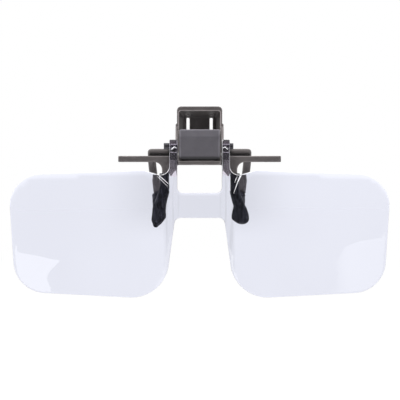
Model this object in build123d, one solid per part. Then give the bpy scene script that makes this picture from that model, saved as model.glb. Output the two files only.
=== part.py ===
from build123d import *
import math
import os

# A clip-on magnifier for spectacles that flips up, in millimetres, +Z up.
# The origin is the grip point, midway between the four rubber pads, on the centre plane.
# The wearer is towards +Y, and the clear plate hangs in front, towards -Y.

# Shared sizes
overrun = 1.0
running_clearance = 0.04
press_clearance = 0.01
side_clearance = 0.15
washer_clearance = 0.025
full_turn = 360.0
quarter_turn = 90.0

# The flip axis above the grip point, and the pivot axis straight above it
flip_height = 20.8
pivot_drop = 1.05
pivot_y = 0.0

# Flip axle, its cap and its washers
flip_pin_radius = 0.65
flip_head_radius = 0.95
flip_head_length = 1.6
flip_cap_radius = 0.9
flip_cap_length = 1.0
flip_cap_end = 0.35
washer_thickness = 0.2
washer_radius = 1.7

# Pivot axle, its cap, the sleeve on it and the spring
pivot_pin_radius = 0.75
pivot_head_radius = 1.2
pivot_head_length = 0.45
pivot_cap_length = 0.45
pivot_cap_grip = 0.35
spring_sleeve_radius = 1.3
spring_sleeve_end_gap = 0.1
spring_wire = 0.6
spring_radius = 1.85
spring_pitch = 1.15
spring_turns = 5
spring_start_inset = 1.35
spring_end_gap = 0.15
spring_front_angle = 76.0
spring_rear_angle = 112.0
spring_gap_samples = 8

# Rear jaw's knuckles on the pivot axle
knuckle_radius = 2.9
knuckle_width = 1.95

# Front jaw: cheeks, floor, brow bar, gussets
cheek_half_width = 6.3
cheek_thickness = 0.85
cheek_front_margin = 2.0
cheek_rise = 4.6
cheek_top_length = 2.2
cheek_waist_forward = 3.6
cheek_waist_rise = 2.85
cheek_boss_radius = 2.6
cheek_radius = 0.8
floor_drop = 4.45
floor_thickness = 1.2
lip_overhang = 0.6
lip_radius = 0.9
brow_half_length = 24.0
brow_drop = 1.75
brow_height = 1.8
brow_knuckle_gap = 0.1
brow_depth = 2.0
brow_edge_radius = 0.2
web_margin = 0.05
web_height = 3.5
web_inner_drop = 0.3
gusset_radius = 2.3
fin_length = 1.2
fin_edge_gap = 0.1
fin_radius = 0.2

# Front legs: the foot is the rubber-covered lower end
front_sole_drop = 2.6
front_top_across = 10.2
front_foot_across = 12.6
front_foot_width = 3.8
front_foot_depth = 2.9

# Rear legs
rear_leg_root = 0.9
rear_leg_top_across = 14.15
rear_leg_width = 2.4
rear_leg_depth = 2.3
rear_sole_drop = 1.2
rear_sleeve_length = 8.2
rear_sleeve_slant = 28.0
rear_sleeve_rise = 1.0
rear_top_across = 12.95
rear_foot_across = 11.5
rear_top_back = 3.85
rear_foot_width = 2.9
rear_foot_depth = 2.8

# Shared by all four legs
pad_gap = 0.4
sleeve_wall = 0.6
tang_root = 1.0
tang_end_gap = 1.3
foot_corner_share = 0.3

# Front cover
cover_side_margin = 0.4
cover_floor_gap = 0.4
cover_top_lap = 0.3
cover_thickness = 1.1
cover_crease_drop = 2.1
cover_top_thickness = 0.55
cover_foot_thickness = 0.45
cover_foot_height = 0.8
cover_corner_radius = 0.8
cover_edge_radius = 0.3
lug_thickness = 0.9
lug_side_gap = 0.05
lug_reach = 1.4
lug_rise = 1.0
lug_height = 1.9

# Detent leaves
leaf_width = 1.7
leaf_inset = 0.15
leaf_thickness = 0.25
leaf_foot_height = 1.2
leaf_point = 1.0
leaf_point_rise = 0.1
leaf_space = 0.4
leaf_hub_gap = 0.06
leaf_pocket_gap = 0.05

# Rear jaw: shoulders and thumb lever
shoulder_end_margin = 0.05
shoulder_drop = 2.05
shoulder_height = 2.5
shoulder_front = 1.4
shoulder_depth = 2.8
shoulder_radius = 0.9
lever_front = 2.5
lever_depth = 6.5
lever_rise = 2.85
lever_height = 10.2
lever_rear_drop = 2.4
lever_side_margin = 0.45
lever_rear_half_width = 5.3
lever_collar_height = 5.1
lever_collar_step = 0.4
lever_corner_radius = 1.2
lever_side_wall = 0.6
lever_top_wall = 1.3
lever_rear_wall = 0.8
slot_inner = 3.0
slot_width = 0.9
slot_top_gap = 0.1
arm_depth = 1.9
arm_height = 4.2
arm_rear_drop = 0.2
arm_root_share = 0.70
core_mark_size = 0.9
core_mark_depth = 0.25
core_mark_forward = 1.6

# Clear plate, with its heights from the lens centres
plate_thickness = 1.8
hub_radius = 2.1
ear_width = 2.35
lens_spacing = 64.0
lens_drop = 25.8
dome_rim_radius = 26.3
dome_curve_radius = 196.0
plate_top_half_width = 56.4
plate_bottom_half_width = 54.2
plate_outer_rise = 17.45
plate_inner_rise = 18.7
plate_outer_fall = 16.9
plate_inner_fall = 19.2
plate_step_half_width = 16.4
nose_gap_top_half_width = 7.2
nose_gap_bottom_half_width = 10.4
bridge_rise = 4.7
bridge_height = 7.4
ear_root_rise = 16.5
nose_top_radius = 1.6
nose_bottom_radius = 11.0
outer_bottom_radius = 9.6
outer_top_radius = 9.3
step_radius = 4.0
ear_root_radius = 2.6
opening_radius = 1.5

# Each leg's sections, as shares of its length, its shift across and back, and its foot's size
front_foot_shares = [
    (0.0, 0.0, 0.76, 0.0, 0.97),
    (0.17, 0.07, 0.75, 0.0, 0.95),
    (0.346, 0.23, 0.76, 0.03, 0.93),
    (0.50, 0.50, 0.80, 0.33, 0.93),
    (0.66, 0.78, 0.94, 0.85, 0.94),
    (0.80, 0.94, 1.0, 1.0, 0.99),
    (0.92, 1.0, 0.86, 1.0, 0.90),
    (0.98, 1.0, 0.62, 1.0, 0.64),
    (1.0, 1.0, 0.42, 1.0, 0.42),
]
rear_foot_shares = [
    (0.0, 0.0, 0.90, 0.0, 0.94),
    (0.17, 0.08, 0.90, 0.05, 0.93),
    (0.36, 0.32, 0.91, 0.38, 0.92),
    (0.62, 0.70, 0.96, 0.92, 0.95),
    (0.82, 0.92, 1.0, 1.0, 1.0),
    (0.94, 1.0, 0.84, 1.0, 0.84),
    (1.0, 1.0, 0.5, 1.0, 0.45),
]
rear_leg_shares = [
    (0.0, 0.0, 1.0, 0.0, 1.0),
    (0.16, 0.02, 1.0, 0.1, 1.0),
    (0.48, 0.38, 1.0, 0.86, 1.0),
    (0.76, 0.74, 1.0, 1.02, 1.0),
    (1.0, 1.0, 1.0, 1.0, 1.0),
]
_, _, front_top_width_share, _, front_top_depth_share = front_foot_shares[0]
_, _, rear_top_width_share, _, rear_top_depth_share = rear_foot_shares[0]

# Places across, from the centre plane outwards
cheek_inner = cheek_half_width - cheek_thickness
cover_half_width = cheek_half_width - cover_side_margin
washer_start = cheek_half_width + washer_clearance
ear_inner = washer_start + washer_thickness + washer_clearance
ear_outer = ear_inner + ear_width
knuckle_inner = cheek_half_width + side_clearance
knuckle_outer = knuckle_inner + knuckle_width
lever_half_width = cheek_half_width + lever_side_margin
front_top_width = front_foot_width * front_top_width_share
fin_edge = front_top_across - front_top_width / 2 - fin_edge_gap
web_half_width = front_top_across + front_top_width / 2 - sleeve_wall + web_margin
shoulder_half_width = rear_leg_top_across + rear_leg_width / 2 + shoulder_end_margin

# Places in depth: forwards from the pivot axis to the cover, then backwards
brow_rear = knuckle_radius + brow_knuckle_gap
brow_front = brow_rear + brow_depth
flip_forward = brow_front + leaf_space + hub_radius
flip_y = -flip_forward
cheek_front = flip_forward + cheek_front_margin
cover_front = cheek_front + cover_thickness
front_top_forward = (brow_rear + brow_front) / 2
front_foot_back = -(pad_gap + front_foot_depth) / 2
rear_foot_back = (pad_gap + rear_foot_depth) / 2
rear_leg_top_back = shoulder_front + shoulder_depth / 2
lever_rear = lever_front + lever_depth

# Heights: the clip round its two axes, the legs down to the soles, and the plate below
pivot_height = flip_height - pivot_drop
cheek_top = flip_height + cheek_rise
cheek_waist_height = pivot_height + cheek_waist_rise
floor_bottom = pivot_height - floor_drop
floor_top = floor_bottom + floor_thickness
brow_top = pivot_height - brow_drop
brow_bottom = brow_top - brow_height
front_sleeve_top = brow_bottom - web_height
front_sleeve_length = front_sleeve_top + front_sole_drop
fin_tip_height = front_sleeve_top - fin_length
web_inner_height = floor_bottom - web_inner_drop
shoulder_bottom = pivot_height - shoulder_drop
rear_leg_top = shoulder_bottom + rear_leg_root
rear_sleeve_top = rear_sleeve_length - rear_sole_drop
cover_bottom = floor_top + cover_floor_gap
cover_top = cheek_top + cover_top_lap
leaf_bottom = brow_top - leaf_foot_height
leaf_top = flip_height + leaf_point_rise
leaf_shoulder = leaf_top - leaf_point
lever_bottom = pivot_height + lever_rise
lever_top = lever_bottom + lever_height
lever_rear_top = lever_top - lever_rear_drop
lever_collar_top = lever_bottom + lever_collar_height
slot_top = lever_rear_top - lever_rear_wall - slot_top_gap
lens_centre_height = flip_height - lens_drop
bridge_bottom = lens_centre_height + bridge_rise


def outline(plane, corners):
    """A closed face on a plane, from corners given as (across, up, corner radius)."""
    points = [(across, up) for across, up, _ in corners]
    radii = [radius for _, _, radius in corners]
    with BuildSketch(plane) as sketch:
        with BuildLine():
            FilletPolyline(*points, radius=radii, close=True)
        make_face()
    return sketch.sketch


def front_slab(corners, rear, front):
    """An outline seen from the front, as (x, z, radius) corners, from y = rear to y = front."""
    return extrude(outline(Plane.XZ.offset(-rear), corners), amount=rear - front)


def side_slab(corners, start, end):
    """An outline seen from the side, as (y, z, radius) corners, from x = start to x = end."""
    return extrude(outline(Plane.YZ.offset(start), corners), amount=end - start)


def both_sides(corners):
    """The right half of an outline, joined with its mirror image."""
    return corners + [(-across, up, radius) for across, up, radius in reversed(corners)]


def rod(radius, start, end, y, z):
    """A round rod along X."""
    align = (Align.CENTER, Align.CENTER, Align.MIN)
    return Pos(start, y, z) * Rot(0, quarter_turn, 0) * Cylinder(radius, end - start, align=align)


def block(low, high):
    """A box between two corners."""
    size = [high[i] - low[i] for i in range(3)]
    align = (Align.MIN, Align.MIN, Align.MIN)
    return Pos(*low) * Box(*size, align=align)


def mirrored(part):
    """The same piece on the other side of the centre plane."""
    return mirror(part, about=Plane.YZ)


def limb(shares, top, length, start, shift, size, shrink):
    """A limb through rounded sections, each (down, across, width, back, depth) as shares."""
    sections = []
    for down, across, width_share, back, depth_share in shares:
        width = size[0] * width_share - shrink
        depth = size[1] * depth_share - shrink
        place = Plane.XY.offset(top - length * down)
        x = start[0] + shift[0] * across
        y = start[1] + shift[1] * back
        corner = min(width, depth) * foot_corner_share
        sections.append(place * Pos(x, y) * RectangleRounded(width, depth, corner))
    return loft(sections)


def front_foot(shrink):
    """The lower part of the right front leg, less a shrink all over its section."""
    start = (front_top_across, -front_top_forward)
    shift = (front_foot_across - front_top_across, front_foot_back + front_top_forward)
    size = (front_foot_width, front_foot_depth)
    return limb(front_foot_shares, front_sleeve_top, front_sleeve_length, start, shift, size, shrink)


def rear_foot(shrink):
    """The lower part of the right rear leg, less a shrink all over its section."""
    start = (rear_top_across, rear_top_back)
    shift = (rear_foot_across - rear_top_across, rear_foot_back - rear_top_back)
    size = (rear_foot_width, rear_foot_depth)
    top = rear_sleeve_top + rear_sleeve_rise
    return limb(rear_foot_shares, top, top + rear_sole_drop, start, shift, size, shrink)


def above_rear_joint(side):
    """A block over (side = 1) or under (side = -1) the slanted top of the right rear sleeve."""
    reach = 2 * (rear_foot_width + rear_leg_width)
    height = rear_leg_top + rear_sleeve_length
    place = Pos(rear_top_across, rear_top_back, rear_sleeve_top) * Rot(0, rear_sleeve_slant, 0)
    return place * Pos(0, 0, side * height / 2) * Box(reach, reach, height)


def tang(foot, sleeve_top, sleeve_bottom, across, back, width, depth):
    """The leg's core inside its sleeve: stops short of the sole, and is rooted in the leg above."""
    sole = sleeve_bottom + tang_end_gap
    reach = across + width
    depth_reach = abs(back) + depth
    keep = block((0, -depth_reach, sole), (reach + width, depth_reach, sleeve_top + overrun))
    root_low = (across - width / 2 + sleeve_wall, back - depth / 2 + sleeve_wall, sleeve_top)
    root_high = (across + width / 2 - sleeve_wall, back + depth / 2 - sleeve_wall, sleeve_top + tang_root)
    return (foot & keep) + block(root_low, root_high)


def make_lens_plate():
    """One clear moulding: two domed lenses, the bridge, and two ears with hubs for the flip axle."""
    right = [
        (nose_gap_top_half_width, bridge_bottom, nose_top_radius),
        (nose_gap_bottom_half_width, lens_centre_height - plate_inner_fall, nose_bottom_radius),
        (plate_bottom_half_width, lens_centre_height - plate_outer_fall, outer_bottom_radius),
        (plate_top_half_width, lens_centre_height + plate_outer_rise, outer_top_radius),
        (plate_step_half_width, lens_centre_height + plate_inner_rise, step_radius),
        (ear_outer, lens_centre_height + ear_root_rise, ear_root_radius),
        (ear_outer, flip_height, 0),
        (ear_inner, flip_height, 0),
        (ear_inner, bridge_bottom + bridge_height, opening_radius),
    ]
    corners = both_sides(right)
    rear = flip_y + plate_thickness / 2
    plate = front_slab(corners, rear, rear - plate_thickness)
    rise = dome_curve_radius - math.sqrt(dome_curve_radius**2 - dome_rim_radius**2)
    thick = front_slab(corners, rear, rear - plate_thickness - rise - overrun)
    ball_y = rear - plate_thickness - rise + dome_curve_radius
    for side in (-1, 1):
        ball = Pos(side * lens_spacing / 2, ball_y, lens_centre_height) * Sphere(dome_curve_radius)
        plate += thick & ball
    hub = rod(hub_radius, ear_inner, ear_outer, flip_y, flip_height)
    plate += [hub, mirrored(hub)]
    bore_end = ear_outer + overrun
    return plate - rod(flip_pin_radius + running_clearance, -bore_end, bore_end, flip_y, flip_height)


def make_flip_axle():
    """The pin through both ears and both cheeks, with its head outside the left ear."""
    head_start = -(ear_outer + washer_clearance)
    shaft_end = ear_outer + washer_clearance + flip_cap_length - flip_cap_end
    shaft = rod(flip_pin_radius, head_start, shaft_end, flip_y, flip_height)
    head = rod(flip_head_radius, head_start - flip_head_length, head_start, flip_y, flip_height)
    return shaft + head


def make_flip_axle_cap():
    """The push-on cap that keeps the flip axle in, outside the right ear."""
    start = ear_outer + washer_clearance
    end = start + flip_cap_length
    cap = rod(flip_cap_radius, start, end, flip_y, flip_height)
    return cap - rod(flip_pin_radius + press_clearance, start, end - flip_cap_end, flip_y, flip_height)


def make_ear_washer():
    """The thin friction washer between the right cheek and the right ear."""
    end = washer_start + washer_thickness
    washer = rod(washer_radius, washer_start, end, flip_y, flip_height)
    return washer - rod(flip_pin_radius + running_clearance, washer_start, end, flip_y, flip_height)


def make_detent_leaf():
    """The spring strip behind the right ear's hub, pocketed in the brow bar, with a pointed end."""
    left = ear_inner + leaf_inset
    right = left + leaf_width
    front_corners = [
        (left, leaf_bottom, 0),
        (right, leaf_bottom, 0),
        (right, leaf_shoulder, 0),
        ((left + right) / 2, leaf_top, 0),
        (left, leaf_shoulder, 0),
    ]
    foot = -brow_front
    tip = flip_y + hub_radius + leaf_hub_gap
    side_corners = [
        (foot, leaf_bottom, 0),
        (foot + leaf_thickness, leaf_bottom, 0),
        (foot + leaf_thickness, brow_top, 0),
        (tip + leaf_thickness, leaf_shoulder, 0),
        (tip + leaf_thickness, leaf_top, 0),
        (tip, leaf_top, 0),
        (tip, leaf_shoulder, 0),
        (foot, brow_top, 0),
    ]
    strip = side_slab(side_corners, left, right)
    return strip & front_slab(front_corners, foot + leaf_thickness + overrun, tip - overrun)


def leaf_pocket():
    """The space cut for the foot of the right detent leaf."""
    left = ear_inner + leaf_inset - leaf_pocket_gap
    right = left + leaf_width + 2 * leaf_pocket_gap
    low = (left, -brow_front - overrun, leaf_bottom)
    high = (right, -brow_front + leaf_thickness, brow_top + overrun)
    return block(low, high)


def make_front_jaw():
    """The root moulding: two cheeks, a floor with a lip, the brow bar with gussets, and two legs."""
    cheek_corners = [
        (-cheek_front, floor_bottom, 0),
        (-cheek_front, cheek_top, 0),
        (-cheek_front + cheek_top_length, cheek_top, cheek_radius),
        (-cheek_waist_forward, cheek_waist_height, cheek_radius),
        (pivot_y, pivot_height + cheek_boss_radius, 0),
        (pivot_y, pivot_height - cheek_boss_radius, 0),
        (-brow_rear, floor_bottom, 0),
    ]
    cheek = side_slab(cheek_corners, cheek_inner, cheek_half_width)
    cheek += rod(cheek_boss_radius, cheek_inner, cheek_half_width, pivot_y, pivot_height)
    floor_corners = both_sides([
        (cheek_half_width, floor_bottom, lip_radius),
        (cheek_half_width, floor_top, 0),
    ])
    floor = front_slab(floor_corners, -brow_rear, -cheek_front - lip_overhang)
    bracket_corners = both_sides([
        (brow_half_length, brow_top, brow_edge_radius),
        (brow_half_length, brow_bottom, brow_edge_radius),
        (web_half_width, brow_bottom, gusset_radius),
        (web_half_width, front_sleeve_top, 0),
        (fin_edge, front_sleeve_top, 0),
        (fin_edge, fin_tip_height, fin_radius),
        (ear_inner, web_inner_height, 0),
        (ear_inner, floor_bottom, 0),
    ])
    bracket = front_slab(bracket_corners, -brow_rear, -brow_front)
    depth = front_foot_depth * front_top_depth_share
    core = tang(front_foot(2 * sleeve_wall), front_sleeve_top, -front_sole_drop,
                front_top_across, -front_top_forward, front_top_width, depth)
    jaw = bracket + [floor, cheek, mirrored(cheek), core, mirrored(core)]
    jaw -= [leaf_pocket(), mirrored(leaf_pocket())]
    reach = cheek_half_width + overrun
    jaw -= rod(flip_pin_radius + press_clearance, -reach, reach, flip_y, flip_height)
    return jaw - rod(pivot_pin_radius + press_clearance, -reach, reach, pivot_y, pivot_height)


def make_front_cover():
    """The plate pressed on with a finger: leans back above its crease, with two lugs inside."""
    side_corners = [
        (-cheek_front, cover_bottom, 0),
        (-cheek_front, cover_top, 0),
        (-cheek_front - cover_top_thickness, cover_top, 0),
        (-cover_front, cover_top - cover_crease_drop, 0),
        (-cover_front, cover_bottom + cover_foot_height, cover_foot_thickness),
        (-cheek_front - cover_foot_thickness, cover_bottom, 0),
    ]
    front_corners = both_sides([
        (cover_half_width, cover_bottom, cover_corner_radius),
        (cover_half_width, cover_top, cover_edge_radius),
    ])
    plate = side_slab(side_corners, -cover_half_width, cover_half_width)
    plate &= front_slab(front_corners, -cheek_front + overrun, -cover_front - overrun)
    lug_side = cheek_inner - lug_side_gap
    lug_bottom = cover_bottom + lug_rise
    low = (lug_side - lug_thickness, -cheek_front, lug_bottom)
    lug = block(low, (lug_side, -cheek_front + lug_reach, lug_bottom + lug_height))
    return plate + [lug, mirrored(lug)]


def make_front_sleeve(front_jaw):
    """The rubber boot on the right front leg."""
    return front_foot(0) - front_jaw


def make_rear_sleeve(rear_jaw):
    """The rubber boot on the right rear leg, with its slanted top."""
    return (rear_foot(0) & above_rear_joint(-1)) - rear_jaw


def make_pivot_axle():
    """The pin that both jaws turn on, with its head sunk in the left knuckle."""
    shaft = rod(pivot_pin_radius, -knuckle_outer, knuckle_outer - pivot_cap_length + pivot_cap_grip,
                pivot_y, pivot_height)
    head = rod(pivot_head_radius, -knuckle_outer, -knuckle_outer + pivot_head_length,
               pivot_y, pivot_height)
    return shaft + head


def make_pivot_axle_cap():
    """The push-on cap on the pivot axle, sunk in the right knuckle."""
    start = knuckle_outer - pivot_cap_length
    cap = rod(pivot_head_radius, start, knuckle_outer, pivot_y, pivot_height)
    return cap - rod(pivot_pin_radius + press_clearance, start, start + pivot_cap_grip,
                     pivot_y, pivot_height)


def make_spring_sleeve():
    """The tube on the pivot axle that the spring's coil lies round."""
    end = cheek_inner - spring_sleeve_end_gap
    tube = rod(spring_sleeve_radius, -end, end, pivot_y, pivot_height)
    return tube - rod(pivot_pin_radius + running_clearance, -end, end, pivot_y, pivot_height)


def spring_point(turned):
    """A place on the coil's centre line, and the way the wire runs there, after some degrees."""
    angle = math.radians(spring_front_angle - turned)
    rise = spring_pitch / full_turn
    place = Vector(-cheek_inner + spring_start_inset + rise * turned,
                   pivot_y + spring_radius * math.cos(angle),
                   pivot_height + spring_radius * math.sin(angle))
    arc_rate = math.radians(spring_radius)
    way = Vector(rise, arc_rate * math.sin(angle), -arc_rate * math.cos(angle))
    return place, way.normalized()


def joined_arcs(start, start_way, end, end_way):
    """Two arcs, tangent to each other and to the given ways, from start to end."""
    chord = end - start
    ways = start_way + end_way
    bend = 2 * (1 - start_way.dot(end_way))
    across = chord.dot(ways)
    reach = (math.sqrt(across**2 + bend * chord.dot(chord)) - across) / bend
    first = start + start_way * reach
    second = end - end_way * reach
    middle = (first + second) * 0.5
    return [
        Edge.make_tangent_arc(start, start_way, middle),
        Edge.make_tangent_arc(middle, second - first, end),
    ]


def make_torsion_spring():
    """One wire: a leg on the cover, the coil, and a leg on the thumb lever's tongue."""
    total = full_turn * spring_turns + spring_front_angle - spring_rear_angle
    count = math.ceil(total / quarter_turn)
    stations = [spring_point(total * i / count) for i in range(count + 1)]
    edges = []
    for (start, start_way), (end, end_way) in zip(stations, stations[1:]):
        edges += joined_arcs(start, start_way, end, end_way)
    first, first_way = stations[0]
    last, last_way = stations[-1]
    rest = spring_wire / 2 + spring_end_gap
    front_tip = first - first_way * ((first.Y + cheek_front - rest) / first_way.Y)
    rear_tip = last + last_way * ((lever_rear - lever_rear_wall - rest - last.Y) / last_way.Y)
    edges = [Edge.make_line(front_tip, first)] + edges + [Edge.make_line(last, rear_tip)]
    path = Wire(edges)
    section = Plane(origin=front_tip, z_dir=first_way) * Circle(spring_wire / 2)
    wire = sweep(section, path=path)
    samples = spring_gap_samples * count
    rings = [spring_point(total * i / samples)[0] for i in range(samples + 1)]
    half_turn = round(samples * full_turn / total) // 2
    gap = min((rings[i] - rings[j]).length
              for i in range(samples + 1) for j in range(i + half_turn, samples + 1)) - spring_wire
    whole = math.pi * (spring_wire / 2) ** 2 * path.length
    print("spring: least gap to itself", round(gap, 3), "volume share", round(wire.volume / whole, 4))
    return wire


def lever_arch(y, half_width, rear_half_width, top, rear_top, bottom, radius):
    """A section of the thumb lever at a depth y, on straight lines from its rim to its back."""
    share = (y - lever_front) / lever_depth
    half = half_width + (rear_half_width - half_width) * share
    height = top + (rear_top - top) * share
    corners = both_sides([(half, bottom, 0), (half, height, radius)])
    return outline(Plane.XZ.offset(-y), corners)


def lever_form(half_width, rear_half_width, top, rear_top, bottom, radius, start, end):
    """A tapering arch between two depths."""
    sizes = (half_width, rear_half_width, top, rear_top, bottom, radius)
    return loft([lever_arch(start, *sizes), lever_arch(end, *sizes)], ruled=True)


def make_thumb_lever():
    """The tapering hood pressed on with a thumb: open in front and below, its back slotted."""
    hood = lever_form(lever_half_width, lever_rear_half_width, lever_top, lever_rear_top,
                      lever_bottom, lever_corner_radius, lever_front, lever_rear)
    collar = lever_form(lever_half_width + lever_collar_step, lever_rear_half_width + lever_collar_step,
                        lever_collar_top, lever_collar_top, lever_bottom,
                        lever_collar_step, lever_front, lever_rear)
    hollow_bottom = lever_bottom - overrun
    hollow = lever_form(lever_half_width - lever_side_wall, lever_rear_half_width - lever_rear_wall,
                        lever_top - lever_top_wall, lever_rear_top - lever_rear_wall, hollow_bottom,
                        lever_corner_radius - lever_side_wall,
                        lever_front - overrun, lever_rear - lever_rear_wall)
    lever = hood + collar - hollow
    for side in (-1, 1):
        centre = side * (slot_inner + slot_width / 2)
        low = (centre - slot_width / 2, lever_rear - lever_rear_wall - overrun, hollow_bottom)
        lever -= block(low, (centre + slot_width / 2, lever_rear + overrun, slot_top))
        mark_rear = lever_rear - lever_rear_wall - core_mark_forward
        drop = (lever_rear_drop + lever_rear_wall - lever_top_wall) / lever_depth
        ceiling = lever_top - lever_top_wall - drop * (mark_rear - core_mark_size - lever_front)
        low = (centre - core_mark_size / 2, mark_rear - core_mark_size, ceiling - core_mark_size)
        lever -= block(low, (centre + core_mark_size / 2, mark_rear, ceiling + core_mark_depth))
    return lever


def make_rear_jaw():
    """The turning moulding: thumb lever, arms, knuckles on the pivot axle, shoulders and two legs."""
    root = knuckle_radius * arm_root_share
    arm_top = lever_bottom + arm_height
    arm_rear = lever_front + arm_depth
    arm_corners = [
        (pivot_y - root, pivot_height + root, 0),
        (lever_front, arm_top, 0),
        (arm_rear, arm_top, 0),
        (arm_rear, lever_bottom - arm_rear_drop, cheek_radius),
        (pivot_y + root, pivot_height - root, 0),
    ]
    arm = side_slab(arm_corners, knuckle_inner, lever_half_width + lever_collar_step)
    knuckle = rod(knuckle_radius, knuckle_inner, knuckle_outer, pivot_y, pivot_height)
    low = (knuckle_inner + knuckle_width / 2, shoulder_front, shoulder_bottom)
    high = (shoulder_half_width, shoulder_front + shoulder_depth, shoulder_bottom + shoulder_height)
    shoulder_block = block(low, high)
    shoulder = fillet(shoulder_block.edges(), shoulder_radius)
    leg = limb(rear_leg_shares, rear_leg_top, rear_leg_top - rear_sleeve_top + rear_sleeve_rise,
               (rear_leg_top_across, rear_leg_top_back),
               (rear_top_across - rear_leg_top_across, rear_top_back - rear_leg_top_back),
               (rear_leg_width, rear_leg_depth), 0)
    leg &= above_rear_joint(1)
    width = rear_foot_width * rear_top_width_share
    depth = rear_foot_depth * rear_top_depth_share
    core = tang(rear_foot(2 * sleeve_wall), rear_sleeve_top, -rear_sole_drop,
                rear_top_across, rear_top_back, width, depth)
    side = arm + [knuckle, shoulder, leg, core]
    reach = knuckle_outer + overrun
    side -= rod(pivot_pin_radius + running_clearance, 0, reach, pivot_y, pivot_height)
    recess = knuckle_outer - max(pivot_head_length, pivot_cap_length) - washer_clearance
    side -= rod(pivot_head_radius + running_clearance, recess, reach, pivot_y, pivot_height)
    return make_thumb_lever() + [side, mirrored(side)]


def make_parts():
    """Every piece by its node name."""
    front_jaw = make_front_jaw()
    rear_jaw = make_rear_jaw()
    parts = {
        "lens_plate": make_lens_plate(),
        "flip_axle": make_flip_axle(),
        "flip_axle_cap": make_flip_axle_cap(),
        "front_jaw": front_jaw,
        "front_cover": make_front_cover(),
        "rear_jaw": rear_jaw,
        "pivot_axle": make_pivot_axle(),
        "pivot_axle_cap": make_pivot_axle_cap(),
        "spring_sleeve": make_spring_sleeve(),
        "torsion_spring": make_torsion_spring(),
    }
    pairs = {
        "ear_washer": make_ear_washer(),
        "detent_leaf": make_detent_leaf(),
        "front_sleeve": make_front_sleeve(front_jaw),
        "rear_sleeve": make_rear_sleeve(rear_jaw),
    }
    for name, piece in pairs.items():
        parts[name + "_right"] = piece
        parts[name + "_left"] = mirrored(piece)
    return parts


os.makedirs("parts", exist_ok=True)
for node, shape in make_parts().items():
    export_step(shape, "parts/" + node + ".step")
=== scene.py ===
import math

import bmesh
import bpy
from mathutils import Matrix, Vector
from mathutils.bvhtree import BVHTree
from mathutils.geometry import delaunay_2d_cdt
from mathutils.kdtree import KDTree


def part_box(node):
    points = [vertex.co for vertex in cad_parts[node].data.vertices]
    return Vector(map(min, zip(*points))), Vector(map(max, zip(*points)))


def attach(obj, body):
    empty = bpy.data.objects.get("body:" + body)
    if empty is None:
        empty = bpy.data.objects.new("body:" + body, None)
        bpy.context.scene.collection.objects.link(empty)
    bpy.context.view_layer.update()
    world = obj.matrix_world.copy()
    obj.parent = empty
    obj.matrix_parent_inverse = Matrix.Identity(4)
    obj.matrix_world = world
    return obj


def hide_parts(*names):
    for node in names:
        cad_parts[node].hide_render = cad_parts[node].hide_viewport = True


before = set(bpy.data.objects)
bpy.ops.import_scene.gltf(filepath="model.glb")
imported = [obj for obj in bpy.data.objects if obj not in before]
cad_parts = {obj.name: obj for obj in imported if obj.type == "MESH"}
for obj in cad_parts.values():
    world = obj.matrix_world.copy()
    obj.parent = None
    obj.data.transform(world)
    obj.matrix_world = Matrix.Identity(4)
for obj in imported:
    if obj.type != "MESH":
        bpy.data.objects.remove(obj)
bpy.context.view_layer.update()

# Millimetres in metres
MM = 0.001

# Clear plate, in millimetres, with its heights from the lens centres and shares of its grid
PLATE_THICKNESS = 1.8
PLATE_EDGE_ROUND = 0.4
PLATE_EDGE_STEPS = 4
PLATE_GRID = 1.4
OUTLINE_STEP_SHARE = 0.6
RIM_GAP_SHARE = 0.3
RIM_STEP_SHARE = 1.5
FILL_GAP_SHARE = 0.6
LENS_SPACING = 64.0
LENS_CENTRE_HEIGHT = -5.0
DOME_RIM_RADIUS = 26.3
DOME_CURVE_RADIUS = 196.0
PLATE_TOP_HALF_WIDTH = 56.4
PLATE_BOTTOM_HALF_WIDTH = 54.2
PLATE_OUTER_RISE = 17.45
PLATE_INNER_RISE = 18.7
PLATE_OUTER_FALL = 16.9
PLATE_INNER_FALL = 19.2
PLATE_STEP_HALF_WIDTH = 16.4
NOSE_TOP_HALF_WIDTH = 7.2
NOSE_BOTTOM_HALF_WIDTH = 10.4
BRIDGE_RISE = 4.7
BRIDGE_HEIGHT = 7.4
EAR_ROOT_RISE = 16.5
NOSE_TOP_ROUND = 1.6
NOSE_BOTTOM_ROUND = 11.0
OUTER_BOTTOM_ROUND = 9.6
OUTER_TOP_ROUND = 9.3
STEP_ROUND = 4.0
EAR_ROOT_ROUND = 2.6
OPENING_ROUND = 1.5

# Ears and their hubs, in millimetres
FLIP_AXIS_Y = -7.5
FLIP_AXIS_HEIGHT = 20.8
FLIP_BORE_RADIUS = 0.69
HUB_REACH = 1.95
HUB_SQUARENESS = 5.0
HUB_ROUND = 0.35
HUB_POINTS = 72
BORE_POINTS = 40
BORE_OVERRUN = 1.0
EAR_INNER = 6.55
EAR_OUTER = 8.9

# Fine lines left in the front of the clear moulding, as (across, up, half width)
EAR_MARK = [(6.75, 20.25, 0.10), (7.45, 20.6, 0.15), (8.35, 19.85, 0.15)]
FLOW_LINES = [
    [(12.5, 12.8, 0.1), (11.7, 11.4, 0.24), (11.2, 10.3, 0.14), (10.0, 6.9, 0.05)],
    [(11.1, 11.9, 0.04), (10.6, 11.0, 0.09), (10.3, 10.1, 0.04)],
    [(-12.9, 13.0, 0.08), (-11.0, 11.4, 0.13), (-9.1, 9.7, 0.05)],
    [(-12.5, 12.0, 0.05), (-11.3, 10.9, 0.09), (-9.3, 8.9, 0.04)],
]

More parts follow.
